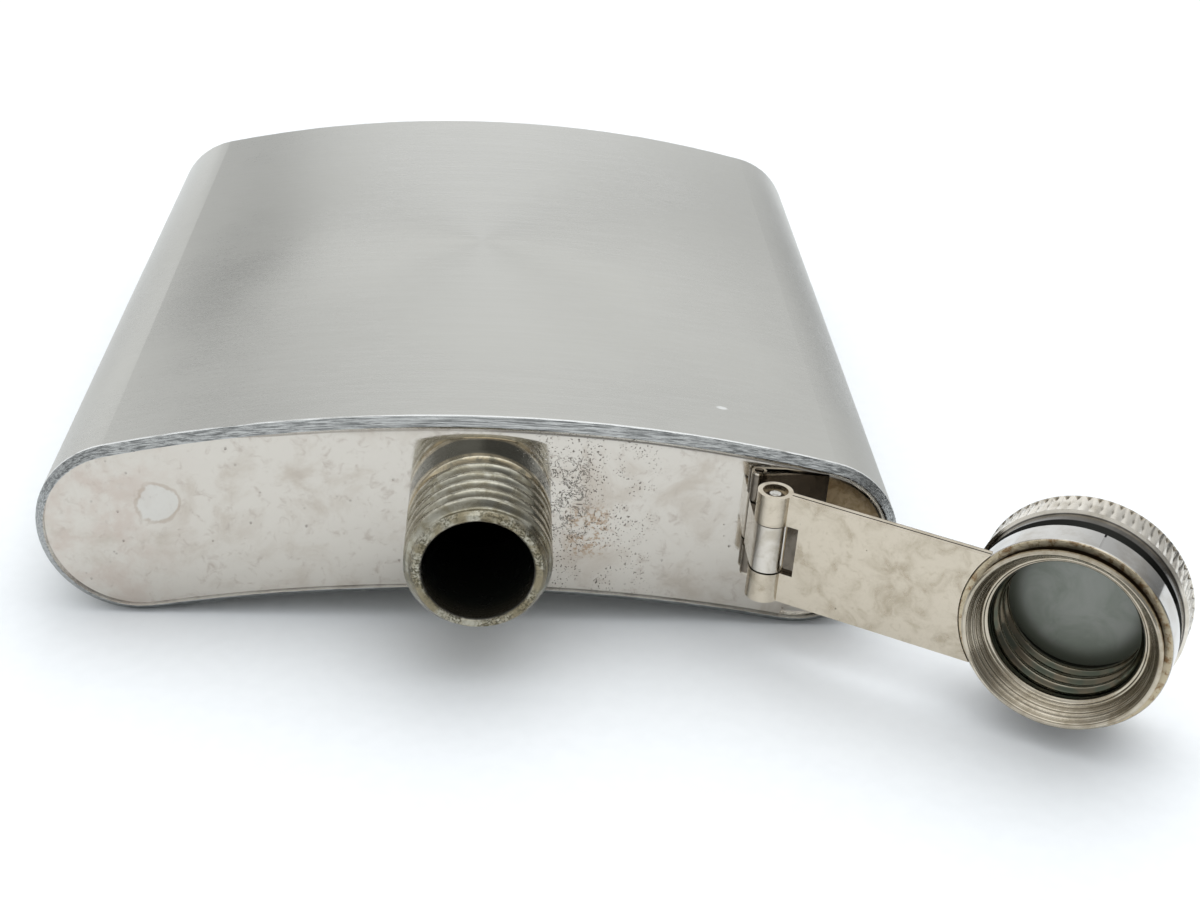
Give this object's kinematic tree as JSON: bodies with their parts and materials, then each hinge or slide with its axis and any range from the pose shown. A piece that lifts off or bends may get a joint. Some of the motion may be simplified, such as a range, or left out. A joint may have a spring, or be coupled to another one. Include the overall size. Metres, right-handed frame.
{
  "type": "hip flask",
  "caption": "Curved brushed steel pocket flask with a threaded neck and a captive knurled screw cap on a hinged arm, swung open.",
  "frame": {"origin": "on the neck's axis, in the plane of the front rim", "axes": "+Y into the flask along the neck's axis, +X towards the hinge, +Z away from the hollow back; the flask lies on its hollow back"},
  "size_m": [0.1196, 0.1264, 0.0248],
  "materials": {
    "brushed_shell": "satin, brushed across the width",
    "polished_plate": "polished, with stains and small pits",
    "neck_metal": "worn plating over a cut thread",
    "nickel": "nickel plated, dull and stained",
    "steel_pin": "plain",
    "cap_metal": "nickel plated, knurled and turned",
    "seal": "smooth grey-green"
  },
  "bodies": {
    "flask": {"body_shell": "brushed_shell", "top_plate": "polished_plate", "bottom_plate": "polished_plate", "neck": "neck_metal", "hinge_bracket": "nickel", "bracket_pin": "steel_pin"},
    "link": {"hinge_link": "nickel"},
    "arm": {"cap_arm": "nickel", "arm_pin": "steel_pin", "arm_collar": "nickel"},
    "seal": {"seal_disc": "seal"},
    "cap": {"cap_sleeve": "cap_metal", "cap_head": "cap_metal"}
  },
  "joints": [
    {"name": "link_swing", "type": "hinge", "parent": "flask", "child": "link", "pos_m": [0.02939, -0.0005, -0.00042], "axis": [0.0227, 0, 0.9997], "range_deg": [-20, 8]},
    {"name": "arm_swing", "type": "hinge", "parent": "link", "child": "arm", "pos_m": [0.03059, -0.0048, -0.00044], "axis": [0.0227, 0, 0.9997], "range_deg": [-106, 35]},
    {"name": "cap_slide", "type": "slide", "parent": "arm", "child": "seal", "axis": [-0.4801, -0.8771, 0.0109], "range_m": [-0.0008, 0.0008]},
    {"name": "cap_spin", "type": "hinge", "parent": "seal", "child": "cap", "pos_m": [0.05745, -0.02173, -0.00105], "axis": [-0.4801, -0.8771, 0.0109], "continuous": true}
  ]
}
